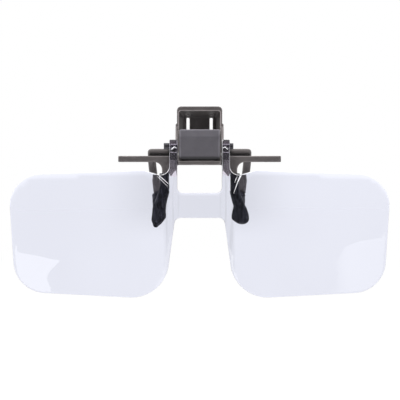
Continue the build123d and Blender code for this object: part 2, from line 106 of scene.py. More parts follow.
# Where the clear moulding's finishes lie, in millimetres, and how far the faces that they take lean
EAR_MARK_HEIGHT = 20.2
EAR_MARK_SPAN = 0.75
EAR_MARK_DEPTH = 0.3
EAR_FOOT_HEIGHT = 12.2
BRIGHT_CORNER = (6.0, 15.5)
FINISH_SLACK = 0.05
EDGE_SLACK = 0.1
RIM_SLACK = 0.02
FRONT_LEAN = 0.75
GAP_LEAN = 0.9
SIDE_LEAN = 0.66
UPRIGHT_LEAN = 0.99

# Where the clear moulding is tinted darker, across or up, in millimetres; above the ears' foot the darker
# tint is painted shade
BRIDGE_ACROSS = (9.2, 11.0)
BRIDGE_UP = (11.0, 15.0)
ROOT_ACROSS = (5.0, 7.5)
TINT_BAND_ACROSS = (9.0, 30.0)
TINT_BAND_UP = (-7.0, 4.0)
EAR_SHADE_UP = (16.65, 16.95)
ACRYLIC_IOR = 1.49

# Rubber boots, in millimetres: height, inner side, outer side, middle depth, half depth
FRONT_BOOT_RIGHT = [
    (12.7, 8.76, 11.64, -4.0, 1.41),
    (10.1, 8.9, 11.6, -4.0, 1.38),
    (8.0, 9.0, 11.8, -3.95, 1.35),
    (6.0, 9.3, 12.3, -3.5, 1.35),
    (4.5, 9.65, 12.9, -3.0, 1.35),
    (3.2, 9.95, 13.45, -2.4, 1.36),
    (2.1, 9.8, 13.95, -1.95, 1.38),
    (1.0, 9.6, 14.35, -1.7, 1.42),
    (0.0, 9.5, 14.55, -1.65, 1.43),
    (-0.8, 9.65, 14.55, -1.65, 1.38),
    (-1.5, 10.55, 14.25, -1.65, 1.25),
    (-1.95, 11.25, 13.7, -1.65, 0.8),
    (-2.15, 11.8, 13.1, -1.65, 0.4),
]
FRONT_BOOT_LEFT = [
    (12.7, 8.76, 11.64, -4.0, 1.41),
    (10.1, 8.85, 11.6, -4.0, 1.38),
    (8.6, 8.75, 11.8, -3.95, 1.35),
    (7.0, 9.05, 12.2, -3.8, 1.35),
    (5.0, 9.5, 12.9, -3.2, 1.35),
    (3.8, 9.8, 13.4, -2.7, 1.35),
    (2.7, 10.0, 13.75, -2.1, 1.36),
    (1.5, 10.1, 13.9, -1.8, 1.4),
    (0.5, 9.95, 14.05, -1.65, 1.43),
    (-0.3, 10.0, 14.15, -1.65, 1.4),
    (-0.9, 10.4, 14.2, -1.65, 1.34),
    (-1.5, 10.85, 14.05, -1.65, 1.22),
    (-2.1, 11.35, 13.8, -1.65, 1.05),
    (-2.7, 12.1, 13.65, -1.65, 0.8),
    (-3.1, 12.5, 13.3, -1.65, 0.45),
]
REAR_BOOT_RIGHT = [
    (7.0, 11.3, 13.65, 3.85, 1.32),
    (6.2, 11.2, 13.6, 3.7, 1.30),
    (4.7, 11.05, 13.6, 3.0, 1.29),
    (3.2, 10.9, 13.55, 2.3, 1.3),
    (2.0, 10.7, 13.4, 1.75, 1.35),
    (0.46, 10.3, 13.1, 1.6, 1.4),
    (-0.5, 10.5, 12.8, 1.6, 1.2),
    (-1.0, 11.0, 12.3, 1.6, 0.7),
    (-1.2, 11.35, 11.95, 1.6, 0.35),
]
REAR_BOOT_LEFT = [
    (7.0, 11.6, 14.05, 3.85, 1.32),
    (6.2, 11.55, 14.1, 3.7, 1.30),
    (4.7, 11.45, 14.1, 3.0, 1.29),
    (3.2, 11.3, 14.0, 2.3, 1.3),
    (2.0, 11.1, 13.8, 1.75, 1.35),
    (0.46, 10.7, 13.4, 1.6, 1.4),
    (-0.5, 10.9, 13.1, 1.6, 1.2),
    (-1.0, 11.4, 12.6, 1.6, 0.7),
    (-1.2, 11.75, 12.25, 1.6, 0.35),
]
REAR_BOOT_SLANT = 28.0
BOOT_SLANT_REACH = 3.0
BOOT_WALL = 0.6
BOOT_RIM = 0.16
BOOT_BEAD = 0.1
BOOT_BEAD_DROP = 0.45
BOOT_BEAD_REACH = 0.3
BOOT_TIP_DROP = 0.08
BOOT_LEAST_HALF = 0.05
BOOT_POINTS = 64
BOOT_RINGS = 64
BOOT_RING_CROWDING = 1.4
BOOT_LINING_RINGS = 14
BOOT_LINING_SHARE = 0.8
BOOT_SQUARENESS = 2.7
BOOT_SOFT_ANGLE = 60.0
LENS_BEND_SHARE = 0.07
LENS_BEND_MOST = 0.4

# Creases in the boots' skin: their depth in millimetres, how fine they are and where they lie
CREASE_DEPTH = 0.5
CREASE_SCALE = 900.0
CREASE_STRETCH = (1.0, 1.0, 0.16)
CREASE_MIDDLE_SHARE = 0.42
CREASE_LEAST_SHARE = 0.2
CREASE_OFFSET = 10.0

# Detent leaves, in millimetres
LEAF_LEFT = 6.7
LEAF_WIDTH = 1.7
LEAF_THICKNESS = 0.25
LEAF_FOOT_Y = -5.0
LEAF_TIP_Y = -5.5
LEAF_BOTTOM = 16.8
LEAF_BEND = 18.0
LEAF_SHOULDER = 19.9
LEAF_TOP = 20.9
LEAF_CUT = 0.2
LEAF_POINT_SIDES = (3, 4)

# Rounding of the moulded and the turned pieces, in millimetres and degrees
MERGE_GAP = 0.001
MOULDING_VOXEL = 0.14
MOULDING_THIN_SHARE = 0.5
TURNED_ROUND = 0.09
SHARP_ANGLE = 32.0
ALL_SOFT_ANGLE = 180.0
SHOULDER_INNER = 8.7
SHOULDER_TOP = 20.5
EASE_TURNS = 4
SHOULDER_EASE_TURNS = 70

# Wear and painted highlight on the mouldings' edges, lighter legs, and painted shade in their gaps, in
# millimetres and degrees
WEAR_SHEEN_ANGLE = 20.0
WEAR_SHEEN_STEP = 0.08
WEAR_SHEEN_REACH = 0.5
LEG_TOP = 18.0
LEG_LIGHTENING = 0.4
GAP_SHADE_REACH = 1.8
HOOD_FOOT = 24.5
HOOD_FRONT = 2.5
HOOD_FRONT_SLACK = 0.3
HOOD_MOUTH = (6.3, 31.7)
SEAM_SHADE_HEIGHT = 18.2
SEAM_SHADE_ABOVE = 1.25
SEAM_SHADE_BELOW = 0.45
SEAM_SHADE_END = 14.9
COVER_SHADE_HEIGHT = 18.2
COVER_SHADE_SHARE = 0.7

# Camera: the plate's outer edges in the 400 pixel photograph set the scale
PHOTO_SIDE = 400.0
PLATE_LEFT_PIXEL = 10.0
PLATE_RIGHT_PIXEL = 389.5
CENTRE_PIXEL = 199.6
GRIP_PIXEL = 217.0
CAMERA_DISTANCE = 1.1
SENSOR = 36.0

# Stage, in metres, with its levels of light, of which one is white
FLOOR_HEIGHT = -0.06
FLOOR_SIDE = 6.0
FLOOR_GLOW = 1.08
FLOOR_GLOW_SHARE = 0.85
MIRROR_DIM = 0.04
MIRROR_WAY = (0.45, 0.93)
CARD_DEPTH = -0.3
LAMP_SIDE = 0.6
LAMPS = (("key", (-0.2, -0.3, 1.0), 15.0), ("fill", (0.6, -0.7, 0.25), 1.5), ("back", (0.1, 0.7, 0.7), 4.0))
WHITE = (1.0, 1.0, 1.0, 1.0)

# Outlines of the two bright cards as the lenses mirror them, in millimetres across and up
LEFT_CARD = [(-64.0, -8.6), (-55.0, -10.3), (-49.0, -11.3), (-41.0, -12.6), (-42.4, -14.2), (-44.2, -15.9),
             (-45.0, -18.1), (-44.2, -20.0), (-43.5, -21.2), (-44.2, -24.0), (-44.2, -34.0), (-64.0, -34.0)]
RIGHT_CARD = [(64.0, -5.0), (47.0, -7.2), (42.9, -9.0), (39.6, -13.9), (40.7, -16.9), (39.8, -19.4),
              (37.5, -22.0), (37.5, -34.0), (64.0, -34.0)]


def add(tree, kind, inputs=None, **settings):
    """A node with its settings and inputs; an input given as a socket is linked."""
    made = tree.nodes.new(kind)
    for name, value in settings.items():
        setattr(made, name, value)
    for key, value in (inputs or {}).items():
        if isinstance(value, bpy.types.NodeSocket):
            tree.links.new(value, made.inputs[key])
        else:
            made.inputs[key].default_value = value
    return made


def calc(tree, operation, first, second=0.0):
    """The result of a Math node on two values or sockets."""
    return add(tree, "ShaderNodeMath", {0: first, 1: second}, operation=operation).outputs[0]


def times(tree, first, second):
    """The product of two values or sockets."""
    return calc(tree, "MULTIPLY", first, second)


def parts_of(tree, place):
    """A place's three parts."""
    return add(tree, "ShaderNodeSeparateXYZ", {0: place}).outputs


def ramp(tree, value, low, high, start=0.0, end=1.0):
    """A value taken smoothly from low..high to start..end, and held outside."""
    made = add(tree, "ShaderNodeMapRange",
               {0: value, 1: low, 2: high, 3: start, 4: end}, interpolation_type="SMOOTHSTEP")
    return made.outputs[0]


def band(tree, value, span, start=0.0, end=1.0):
    """A ramp over a span in millimetres."""
    return ramp(tree, value, span[0] * MM, span[1] * MM, start, end)


def tone(tree, factor, first, second):
    """A mix of two colours."""
    made = add(tree, "ShaderNodeMix", {"Factor": factor}, data_type="RGBA")
    for index, colour in ((6, first), (7, second)):
        if isinstance(colour, bpy.types.NodeSocket):
            tree.links.new(colour, made.inputs[index])
        else:
            made.inputs[index].default_value = (*colour, 1.0)
    return made.outputs[2]


def shade(colour, share):
    """A colour made lighter or darker."""
    return tuple(min(1.0, channel * share) for channel in colour)


def clouded(tree, cloud, colour, dark, light):
    """A colour that wanders between two shares of itself with a cloud of noise."""
    return tone(tree, ramp(tree, cloud, 0.3, 0.7), shade(colour, dark), shade(colour, light))


def bare_material(name):
    """A stage material with an empty tree."""
    material = bpy.data.materials.new(name)
    material.use_nodes = True
    material.node_tree.nodes.clear()
    return material, material.node_tree


def new_material(name):
    """A piece's material, its tree and shader, and the place of a point on the piece."""
    material = bpy.data.materials.new(name)
    material.use_nodes = True
    tree = material.node_tree
    shader = tree.nodes["Principled BSDF"]
    place = add(tree, "ShaderNodeTexCoord").outputs["Object"]
    return material, tree, shader, place


def mottle(tree, place, scale, detail=3.0, stretch=(1.0, 1.0, 1.0)):
    """Noise at a scale, one per metre, stretched along an axis where a share is under one."""
    mapped = add(tree, "ShaderNodeMapping", {"Vector": place, "Scale": stretch}).outputs[0]
    return add(tree, "ShaderNodeTexNoise",
               {"Vector": mapped, "Scale": scale, "Detail": detail}).outputs[0]


def finish_with(tree, shader, colour, roughness, height, strength, depth):
    """Links a shader's colour and roughness, and its bump of a depth in millimetres."""
    tree.links.new(colour, shader.inputs["Base Color"])
    tree.links.new(roughness, shader.inputs["Roughness"])
    bump = add(tree, "ShaderNodeBump", {"Height": height, "Strength": strength, "Distance": depth * MM})
    tree.links.new(bump.outputs[0], shader.inputs["Normal"])


def moulded_plastic(name, colour, roughness):
    """Spark-textured plastic, faintly mottled, lighter along its edges with wear and painted highlight, and
    darkened in its gaps with painted shade.
    """
    material, tree, shader, place = new_material(name)
    cloud = mottle(tree, place, 300.0)
    grain = mottle(tree, place, 4200.0, 2.0)
    pit = add(tree, "ShaderNodeTexVoronoi", {"Vector": place, "Scale": 5200.0}).outputs["Distance"]
    body = clouded(tree, cloud, colour, 0.93, 1.07)
    body = tone(tree, ramp(tree, grain, 0.35, 0.7, 0.0, 0.5), body, shade(colour, 1.12))
    edge = add(tree, "ShaderNodeAttribute", attribute_name="wear_and_sheen").outputs["Fac"]
    # Edges lighter and glossier: part wear, part painted highlight
    worn_and_lit = times(tree, ramp(tree, edge, 0.15, 0.65), ramp(tree, cloud, 0.3, 0.6, 0.4, 0.8))
    body = tone(tree, worn_and_lit, body, shade(colour, 2.2))
    # Painted highlight: a bright line along the hood's mouth
    body = tone(tree, ramp(tree, edge, 1.2, 1.7, 0.0, 0.9), body, shade(colour, 5.5))
    # Painted shade: darker in narrow gaps, along the seam under the shoulders and towards the cover's foot
    gap_shade = add(tree, "ShaderNodeAttribute", attribute_name="gap_shade").outputs["Fac"]
    body = tone(tree, ramp(tree, gap_shade, 0.1, 0.7, 0.0, 0.85), body, shade(colour, 0.1))
    rough = calc(tree, "ADD", ramp(tree, grain, 0.3, 0.7, roughness - 0.05, roughness + 0.07),
                 times(tree, worn_and_lit, -0.12))
    height = calc(tree, "ADD", grain, times(tree, pit, 0.6))
    finish_with(tree, shader, body, rough, height, 0.3, 0.012)
    shader.inputs["Specular IOR Level"].default_value = 0.35
    return material


def black_rubber(name, colour):
    """Soft rubber with lengthwise drawn streaks, lighter in part as a painted highlight, and a little dust
    in patches.
    """
    material, tree, shader, place = new_material(name)
    streak_and_sheen = mottle(tree, place, 1500.0, 3.0, (1.0, 1.0, 0.14))
    cloud = mottle(tree, place, 420.0)
    grain = mottle(tree, place, 5200.0, 2.0)
    # Lighter, glossier streaks: part texture, part painted highlight
    body = tone(tree, ramp(tree, streak_and_sheen, 0.35, 0.7), shade(colour, 0.6), shade(colour, 1.6))
    body = tone(tree, ramp(tree, cloud, 0.55, 0.8, 0.0, 0.3), body, shade(colour, 2.6))
    rough = ramp(tree, streak_and_sheen, 0.3, 0.7, 0.62, 0.42)
    height = calc(tree, "ADD", times(tree, streak_and_sheen, 1.5), times(tree, grain, 0.35))
    finish_with(tree, shader, body, rough, height, 0.6, 0.06)
    shader.inputs["Specular IOR Level"].default_value = 0.28
    return material


def drawn_steel(name, colour, roughness, stretch):
    """Metal with fine drawing or turning lines along its length."""
    material, tree, shader, place = new_material(name)
    line = mottle(tree, place, 9000.0, 2.0, stretch)
    cloud = mottle(tree, place, 700.0)
    body = clouded(tree, cloud, colour, 0.82, 1.12)
    rough = ramp(tree, line, 0.3, 0.7, roughness - 0.08, roughness + 0.12)
    finish_with(tree, shader, body, rough, line, 0.25, 0.01)
    shader.inputs["Metallic"].default_value = 1.0
    return material


def grey_nylon(name, colour):
    """Waxy plastic with a soft cloud in it."""
    material, tree, shader, place = new_material(name)
    cloud = mottle(tree, place, 900.0)
    body = clouded(tree, cloud, colour, 0.9, 1.1)
    finish_with(tree, shader, body, ramp(tree, cloud, 0.3, 0.7, 0.34, 0.5), cloud, 0.2, 0.02)
    return material


def clear_acrylic(name, tint, clearness):
    """Polished clear plastic: soft waves, hairlines, a darker tint at the bridge and on the lenses' nose
    side, and ears painted darker as painted shade.
    """
    material, tree, shader, place = new_material(name)
    wave = mottle(tree, place, 62.0, 1.0)
    hairline = mottle(tree, place, 2600.0, 2.0, (1.0, 1.0, 0.05))
    cloud = mottle(tree, place, 34.0, 1.0)
    flow = mottle(tree, place, 1100.0, 1.0, (1.0, 0.1, 0.05))
    part = parts_of(tree, place)
    across = calc(tree, "ABSOLUTE", part[0])
    bridge = times(tree, band(tree, across, BRIDGE_ACROSS, 1.0, 0.0),
                   band(tree, part[2], BRIDGE_UP, 1.0, 0.0))
    root = times(tree, band(tree, across, ROOT_ACROSS), bridge)
    body = clouded(tree, cloud, tint, 0.985, 1.012)
    # Darker tint on the lenses' nose side, fading out across and downwards
    tinted_band = times(tree, band(tree, across, TINT_BAND_ACROSS, 1.0, 0.0), band(tree, part[2], TINT_BAND_UP))
    body = tone(tree, tinted_band, body, shade(tint, 0.84))
    body = tone(tree, bridge, body, shade(tint, 0.90))
    # Painted shade: the ears and hubs are tinted darker above the ears' foot
    body = tone(tree, band(tree, part[2], EAR_SHADE_UP), body, shade(tint, 0.57))
    lines = times(tree, root, ramp(tree, flow, 0.5, 0.62))
    body = tone(tree, lines, body, shade(tint, 0.83))
    height = calc(tree, "ADD", wave, times(tree, times(tree, flow, root), 0.3))
    finish_with(tree, shader, body, ramp(tree, hairline, 0.72, 0.80, 0.0, 0.035), height, 1.0, 0.045)
    shader.inputs["Transmission Weight"].default_value = clearness
    shader.inputs["IOR"].default_value = ACRYLIC_IOR
    return material


def cut_edge_acrylic(name, colour, clearness):
    """The moulding's edges and flow lines: fine satin that scatters light."""
    material, tree, shader, place = new_material(name)
    grain = mottle(tree, place, 3000.0, 2.0)
    cloud = mottle(tree, place, 500.0)
    body = clouded(tree, cloud, colour, 0.96, 1.0)
    finish_with(tree, shader, body, ramp(tree, grain, 0.3, 0.7, 0.25, 0.45), grain, 0.3, 0.01)
    shader.inputs["Transmission Weight"].default_value = clearness
    shader.inputs["IOR"].default_value = ACRYLIC_IOR
    return material


def link(name, data, material=None):
    """A new object at the origin with that mesh, camera or lamp."""
    piece = bpy.data.objects.new(name, data)
    bpy.context.scene.collection.objects.link(piece)
    if material is not None:
        data.materials.clear()
        data.materials.append(material)
    return piece


def finished(piece):
    """The piece with its modifiers turned into a plain mesh."""
    graph = bpy.context.evaluated_depsgraph_get()
    mesh = bpy.data.meshes.new_from_object(piece.evaluated_get(graph))
    piece.modifiers.clear()
    piece.data = mesh
    return piece


def keep(bm, name):
    """A mesh in metres from a bmesh in millimetres, its faces outwards."""
    bmesh.ops.recalc_face_normals(bm, faces=bm.faces)
    bmesh.ops.scale(bm, vec=(MM, MM, MM), verts=bm.verts)
    mesh = bpy.data.meshes.new(name)
    bm.to_mesh(mesh)
    bm.free()
    return mesh


def join_rings(bm, rings):
    """The skin between rings of points, as its faces in order."""
    faces = []
    for ring, following in zip(rings, rings[1:]):
        for k in range(len(ring)):
            on = (k + 1) % len(ring)
            faces.append(bm.faces.new((ring[k], ring[on], following[on], following[k])))
    return faces


def smooth_shade(mesh, angle):
    """Soft shading, with a crisp line where faces meet at more than an angle."""
    mesh.polygons.foreach_set("use_smooth", [True] * len(mesh.polygons))
    mesh.set_sharp_from_angle(angle=math.radians(angle))


def merged_copy(node):
    """A copy of a node's mesh with its loose triangles joined."""
    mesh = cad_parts[node].data.copy()
    bm = bmesh.new()
    bm.from_mesh(mesh)
    bmesh.ops.remove_doubles(bm, verts=bm.verts, dist=MERGE_GAP * MM)
    bm.to_mesh(mesh)
    bm.free()
    return mesh


def declare(piece, body, slot, *nodes):
    """Attaches a finished piece to its body and hides the nodes that it stands for; the slot is not used.
    """
    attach(piece, body)
    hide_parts(*nodes)


def solids_around():
    """A search tree over every solid but the clear plate."""
    points, faces = [], []
    for name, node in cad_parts.items():
        if name != "lens_plate":
            start = len(points)
            points += [vertex.co for vertex in node.data.vertices]
            faces += [[start + k for k in face.vertices] for face in node.data.polygons]
    return BVHTree.FromPolygons(points, faces)


def paint_gap_shade(piece, around):
    """Stores on each point below the hood how much painted shade it gets: one in a narrow gap, where walls
    stand close round it.

    The seam between the brow bar and the shoulders behind it gets a painted shadow line. The cover gets
    painted shade, darker towards its foot.
    """
    reach = GAP_SHADE_REACH * MM
    gap_shade = piece.data.attributes.new("gap_shade", "FLOAT", "POINT")
    for vertex in piece.data.vertices:
        if vertex.co.z > HOOD_FOOT * MM:
            continue
        gap = around.find_nearest(vertex.co + vertex.normal * reach)[3]
        closed = max(0.0, 1.0 - gap / reach)
        # Painted shadow line along the seam between the brow bar and the shoulders
        if SHOULDER_INNER < abs(vertex.co.x) / MM < SEAM_SHADE_END:
            above = vertex.co.z / MM - SEAM_SHADE_HEIGHT
            closed = max(closed, 1.0 - abs(above) / (SEAM_SHADE_ABOVE if above > 0 else SEAM_SHADE_BELOW))
        # Painted shade on the cover, darker towards its foot
        if piece.name.startswith("front_cover"):
            closed = max(closed, (COVER_SHADE_HEIGHT - vertex.co.z / MM) * COVER_SHADE_SHARE)
        gap_shade.data[vertex.index].value = closed


def mark_wear_and_sheen(piece, shape):
    """Stores on each point how near it lies to an outward edge, for edges made lighter by wear and painted
    highlight: one on it, two along the hood's mouth, which gets a painted highlight.

    The rear jaw's legs are made lighter all over below their top.
    """
    bm = bmesh.new()
    bm.from_mesh(shape)
    points = []
    for edge in bm.edges:
        if edge.is_convex and edge.calc_face_angle(0.0) > math.radians(WEAR_SHEEN_ANGLE):
            here, there = (vert.co for vert in edge.verts)
            parts = math.ceil((there - here).length / (WEAR_SHEEN_STEP * MM))
            points += [here.lerp(there, k / parts) for k in range(parts)]
    bm.free()
    near = KDTree(len(points))
    for number, point in enumerate(points):
        near.insert(point, number)
    near.balance()
    wear_and_sheen = piece.data.attributes.new("wear_and_sheen", "FLOAT", "POINT")
    for vertex in piece.data.vertices:
        gap = near.find(vertex.co)[2] / MM
        x, y, z = vertex.co / MM
        # The hood's mouth gets a painted highlight
        at_mouth = (abs(x) < HOOD_MOUTH[0] and HOOD_FOOT < z < HOOD_MOUTH[1]
                    and abs(y - HOOD_FRONT) < HOOD_FRONT_SLACK)
        worn_and_lit = max(0.0, 1.0 - gap / WEAR_SHEEN_REACH) * (2 if at_mouth else 1)
        # Lighter all over on the rear jaw's legs below their top
        if piece.name.startswith("rear"):
            worn_and_lit = max(worn_and_lit, LEG_LIGHTENING * min(1.0, LEG_TOP - z))
        wear_and_sheen.data[vertex.index].value = worn_and_lit


def is_shoulder(place):
    """True on the rear jaw's shoulder bars and legs, whose sections are nearly round."""
    return abs(place.x) > SHOULDER_INNER * MM and place.z < SHOULDER_TOP * MM


def ease(piece, turns, region=None):
    """Softens a piece's edges, all over or in one region."""
    soft = piece.modifiers.new("Ease", "SMOOTH")
    soft.factor = 0.5
    soft.iterations = turns
    if region is not None:
        group = piece.vertex_groups.new(name="region")
        group.add([v.index for v in piece.data.vertices if region(v.co)], 1.0, "REPLACE")
        soft.vertex_group = "region"


def make_moulding(node, body, slot, material, around, round_region=None):
    """A moulded piece: the node's shape with the softly rounded edges that a mould gives."""
    shape = merged_copy(node)
    piece = link(node + "_moulding", shape)
    skin = piece.modifiers.new("Skin", "REMESH")
    skin.mode = "VOXEL"
    skin.voxel_size = MOULDING_VOXEL * MM
    finished(piece)
    if round_region is not None:
        ease(piece, SHOULDER_EASE_TURNS, round_region)
    ease(piece, EASE_TURNS)
    thin = piece.modifiers.new("Thin", "DECIMATE")
    thin.ratio = MOULDING_THIN_SHARE
    finished(piece)
    piece.vertex_groups.clear()
    piece.data.materials.clear()
    piece.data.materials.append(material)
    mark_wear_and_sheen(piece, shape)
    paint_gap_shade(piece, around)
    smooth_shade(piece.data, ALL_SOFT_ANGLE)
    declare(piece, body, slot, node)


def make_turned(node, body, slot, material):
    """A turned or pressed piece: the node's shape with its sharp edges broken."""
    mesh = merged_copy(node)
    bm = bmesh.new()
    bm.from_mesh(mesh)
    sharp = [e for e in bm.edges if e.calc_face_angle(0.0) > math.radians(SHARP_ANGLE)]
    bmesh.ops.bevel(bm, geom=sharp, offset=TURNED_ROUND * MM, offset_type="OFFSET", segments=2,
                    profile=0.5, affect="EDGES", clamp_overlap=True)
    bm.to_mesh(mesh)
    bm.free()
    piece = link(node + "_turned", mesh, material)
    smooth_shade(mesh, SHARP_ANGLE)
    declare(piece, body, slot, node)


def rounded_outline(corners, step):
    """A closed line through (across, up, radius) corners, in short steps."""
    points = []
    count = len(corners)
    for i, (x, z, radius) in enumerate(corners):
        here = Vector((x, z))
        if radius == 0:
            points.append(here)
            continue
        back = (Vector(corners[i - 1][:2]) - here).normalized()
        on = (Vector(corners[(i + 1) % count][:2]) - here).normalized()
        half = back.angle(on) / 2
        centre = here + (back + on).normalized() * radius / math.sin(half)
        reach = radius / math.tan(half)
        start = here + back * reach - centre
        turn = start.angle_signed(here + on * reach - centre)
        parts = max(3, math.ceil(abs(turn) * radius / step))
        for k in range(parts + 1):
            angle = -turn * k / parts
            spun = Vector((start.x * math.cos(angle) - start.y * math.sin(angle),
                           start.x * math.sin(angle) + start.y * math.cos(angle)))
            points.append(centre + spun)
    line = []
    for here, on in zip(points, points[1:] + points[:1]):
        parts = max(1, round((on - here).length / step))
        line += [here.lerp(on, k / parts) for k in range(parts)]
    return line


def inset(line, amount):
    """A closed line moved inwards."""
    moved = []
    for i, here in enumerate(line):
        back = (here - line[i - 1]).normalized()
        on = (line[(i + 1) % len(line)] - here).normalized()
        normal = Vector((-back.y - on.y, back.x + on.x)).normalized()
        lean = max(0.5, normal.dot(Vector((-back.y, back.x))))
        moved.append(here + normal * amount / lean)
    return moved


def plate_corners():
    """The plate's outline, seen from the front."""
    right = [
        (NOSE_TOP_HALF_WIDTH, BRIDGE_RISE, NOSE_TOP_ROUND),
        (NOSE_BOTTOM_HALF_WIDTH, -PLATE_INNER_FALL, NOSE_BOTTOM_ROUND),
        (PLATE_BOTTOM_HALF_WIDTH, -PLATE_OUTER_FALL, OUTER_BOTTOM_ROUND),
        (PLATE_TOP_HALF_WIDTH, PLATE_OUTER_RISE, OUTER_TOP_ROUND),
        (PLATE_STEP_HALF_WIDTH, PLATE_INNER_RISE, STEP_ROUND),
        (EAR_OUTER, EAR_ROOT_RISE, EAR_ROOT_ROUND),
        (EAR_OUTER, FLIP_AXIS_HEIGHT - LENS_CENTRE_HEIGHT, 0.0),
        (EAR_INNER, FLIP_AXIS_HEIGHT - LENS_CENTRE_HEIGHT, 0.0),
        (EAR_INNER, BRIDGE_RISE + BRIDGE_HEIGHT, OPENING_ROUND),
    ]
    right = [(x, z + LENS_CENTRE_HEIGHT, radius) for x, z, radius in right]
    return right + [(-x, z, radius) for x, z, radius in reversed(right)]


def inside(point, line):
    """True where a point lies within a closed line."""
    found = False
    for here, on in zip(line, line[1:] + line[:1]):
        if (here.y > point.y) != (on.y > point.y):
            cross = here.x + (point.y - here.y) * (on.x - here.x) / (on.y - here.y)
            found ^= point.x < cross
    return found


def far_from(point, line, gap):
    """True where a point keeps a gap from every point of a line."""
    return all((point - other).length_squared > gap * gap for other in line)


def plate_triangles(edge):
    """Even triangles inside the plate's face, with lines along both domes' rims."""
    rim = []
    steps = round(math.tau * DOME_RIM_RADIUS / PLATE_GRID)
    for side in (-1, 1):
        centre = Vector((side * LENS_SPACING / 2, LENS_CENTRE_HEIGHT))
        for k in range(steps):
            angle = math.tau * k / steps
            point = centre + DOME_RIM_RADIUS * Vector((math.cos(angle), math.sin(angle)))
            if inside(point, edge) and far_from(point, edge, RIM_GAP_SHARE * PLATE_GRID):
                rim.append(point)
    low = Vector((min(p.x for p in edge), min(p.y for p in edge)))
    high = Vector((max(p.x for p in edge), max(p.y for p in edge)))
    fill = []
    row_height = PLATE_GRID * math.sqrt(0.75)
    for row in range(int((high.y - low.y) / row_height) + 1):
        for column in range(int((high.x - low.x) / PLATE_GRID) + 1):
            point = low + Vector(((column + row % 2 / 2) * PLATE_GRID, row * row_height))
            if inside(point, edge) and far_from(point, edge + rim, FILL_GAP_SHARE * PLATE_GRID):
                fill.append(point)
    points = edge + rim + fill
    count = len(edge)
    loops = [(k, (k + 1) % count) for k in range(count)]
    loops += [(i, i + 1) for i in range(count, count + len(rim) - 1)
              if (points[i] - points[i + 1]).length < RIM_STEP_SHARE * PLATE_GRID]
    made = delaunay_2d_cdt(points, loops, [list(range(count))], 1, 1e-5)
    return made[0], made[2]


def make_plate_blank():
    """The plate before its domes: an even skin front and rear, and a rounded edge between."""
    line = rounded_outline(plate_corners(), PLATE_GRID * OUTLINE_STEP_SHARE)
    rear = FLIP_AXIS_Y + PLATE_THICKNESS / 2
    front = rear - PLATE_THICKNESS
    face, triangles = plate_triangles(inset(line, PLATE_EDGE_ROUND))
    bm = bmesh.new()
    count = len(line)
    front_verts = [bm.verts.new((p.x, front, p.y)) for p in face]
    rear_verts = [bm.verts.new((p.x, rear, p.y)) for p in face]
    for a, b, c in triangles:
        bm.faces.new((front_verts[a], front_verts[b], front_verts[c]))
        bm.faces.new((rear_verts[c], rear_verts[b], rear_verts[a]))
    rings = [front_verts[:count]]
    for start, way in ((front, 1), (rear, -1)):
        arc = []
        for step in range(1, PLATE_EDGE_STEPS + 1):
            angle = math.pi / 2 * step / PLATE_EDGE_STEPS
            loop = inset(line, PLATE_EDGE_ROUND * (1 - math.sin(angle)))
            y = start + way * PLATE_EDGE_ROUND * (1 - math.cos(angle))
            arc.append([bm.verts.new((p.x, y, p.y)) for p in loop])
        rings += arc if way == 1 else arc[::-1]
    rings.append(rear_verts[:count])
    join_rings(bm, rings)
    return keep(bm, "plate_blank")


def new_tree(name, sizes):
    """A geometry tree with named sizes; gives the tree and its group input's sockets."""
    tree = bpy.data.node_groups.new(name, "GeometryNodeTree")
    face = tree.interface
    face.new_socket("Geometry", in_out="INPUT", socket_type="NodeSocketGeometry")
    for size in sizes:
        face.new_socket(size, in_out="INPUT", socket_type="NodeSocketFloat")
    face.new_socket("Geometry", in_out="OUTPUT", socket_type="NodeSocketGeometry")
    return tree, tree.nodes.new("NodeGroupInput").outputs


def end_tree(tree, shape, material):
    """Ends a tree with real geometry and its material."""
    whole = add(tree, "GeometryNodeRealizeInstances", {"Geometry": shape})
    dressed = add(tree, "GeometryNodeSetMaterial", {"Geometry": whole.outputs[0], "Material": material})
    add(tree, "NodeGroupOutput", {0: dressed.outputs[0]})
    return tree


def domes_tree(material):
    """Raises the front of the plate into two domes: a ball's surface inside each rim."""
    sizes = ("Lens spacing", "Centre height", "Rim radius", "Curve radius", "Middle depth")
    tree, given = new_tree("Domes", sizes)
    place = parts_of(tree, add(tree, "GeometryNodeInputPosition").outputs[0])
    across = calc(tree, "SUBTRACT", calc(tree, "ABSOLUTE", place[0]),
                  times(tree, given["Lens spacing"], 0.5))
    up = calc(tree, "SUBTRACT", place[2], given["Centre height"])
    out = calc(tree, "ADD", times(tree, across, across), times(tree, up, up))
    rim = times(tree, given["Rim radius"], given["Rim radius"])
    ball = times(tree, given["Curve radius"], given["Curve radius"])
    reach = calc(tree, "SQRT", calc(tree, "SUBTRACT", ball, calc(tree, "MINIMUM", out, rim)))
    base = calc(tree, "SQRT", calc(tree, "SUBTRACT", ball, rim))
    rise = calc(tree, "SUBTRACT", base, reach)
    in_front = add(tree, "FunctionNodeCompare", {0: place[1], 1: given["Middle depth"]},
                   data_type="FLOAT", operation="LESS_THAN").outputs[0]
    raised = add(tree, "GeometryNodeSetPosition", {
        "Geometry": given["Geometry"],
        "Selection": in_front,
        "Offset": add(tree, "ShaderNodeCombineXYZ", {1: rise}).outputs[0],
    })
    return end_tree(tree, raised.outputs[0], material)


def apply_tree(piece, tree, values):
    """Runs a node tree on a piece with its named sizes, and keeps the plain mesh."""
    shape = piece.modifiers.new(tree.name, "NODES")
    shape.node_group = tree
    for item in tree.interface.items_tree:
        if item.item_type == "SOCKET" and item.in_out == "INPUT" and item.name in values:
            shape[item.identifier] = values[item.name]
    return finished(piece)


